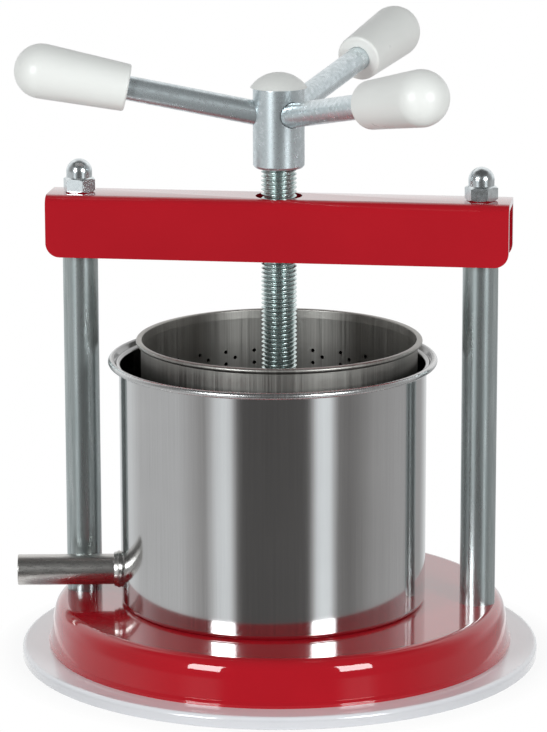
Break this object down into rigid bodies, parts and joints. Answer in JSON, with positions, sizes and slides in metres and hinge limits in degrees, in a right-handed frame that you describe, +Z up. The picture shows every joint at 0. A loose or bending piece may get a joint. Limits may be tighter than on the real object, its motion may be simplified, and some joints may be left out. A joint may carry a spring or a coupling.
{
  "type": "manual food press",
  "caption": "Hand-turned food press: a long screw with radial handles drives a plate down into a perforated basket that stands in a spouted pot on a round base.",
  "frame": {"origin": "centre of the foot's underside, on the axis of the pressing screw", "axes": "+Z up along the screw, +X along the crossbeam towards the post away from the spout, -Y the front, from which the pot is put in"},
  "size_m": [0.2374, 0.2411, 0.284],
  "materials": {
    "red_paint": "glossy red paint on pressed and bent steel sheet",
    "zinc_steel": "bright zinc-plated turned steel",
    "stainless_steel": "polished stainless steel",
    "brushed_steel": "stainless steel, brushed up and down",
    "white_plastic": "semi-gloss white moulded plastic",
    "foot_plastic": "satin white moulded plastic"
  },
  "bodies": {
    "frame": {"foot_plate": "foot_plastic", "foot_screws": "zinc_steel", "base_pan": "red_paint", "tie_bar": "zinc_steel", "left_post": "zinc_steel", "right_post": "zinc_steel", "post_washers": "zinc_steel", "post_nuts": "zinc_steel", "crossbeam": "red_paint", "spindle_nut": "red_paint", "left_cap_nut": "zinc_steel", "right_cap_nut": "zinc_steel"},
    "plate": {"press_plate": "stainless_steel", "plate_boss": "stainless_steel", "boss_grub_screws": "zinc_steel"},
    "spindle": {"spindle": "zinc_steel", "hub": "zinc_steel", "hub_cap": "white_plastic", "left_rod": "zinc_steel", "front_rod": "zinc_steel", "rear_rod": "zinc_steel", "left_grip": "white_plastic", "front_grip": "white_plastic", "rear_grip": "white_plastic"},
    "bucket": {"bucket": "stainless_steel", "spout": "stainless_steel", "spout_collar": "stainless_steel"},
    "basket": {"basket": "brushed_steel"}
  },
  "joints": [
    {"name": "plate_feed", "type": "slide", "parent": "frame", "child": "plate", "axis": [0, 0, 1], "range_m": [-0.01201, 0.12201]},
    {"name": "spindle_turn", "type": "hinge", "parent": "plate", "child": "spindle", "pos_m": [0, 0, 0.1], "axis": [0, 0, 1], "range_deg": [-2160, 21960]},
    {"name": "bucket_turn", "type": "hinge", "parent": "frame", "child": "bucket", "pos_m": [0, 0, 0.0258], "axis": [0, 0, 1], "range_deg": [-1, 159]},
    {"name": "basket_turn", "type": "hinge", "parent": "bucket", "child": "basket", "pos_m": [0, 0, 0.0268], "axis": [0, 0, 1], "continuous": true}
  ],
  "couplings": [
    {"joint": "plate_feed", "follows": "spindle_turn", "m_per_rad": 0.00031831}
  ]
}
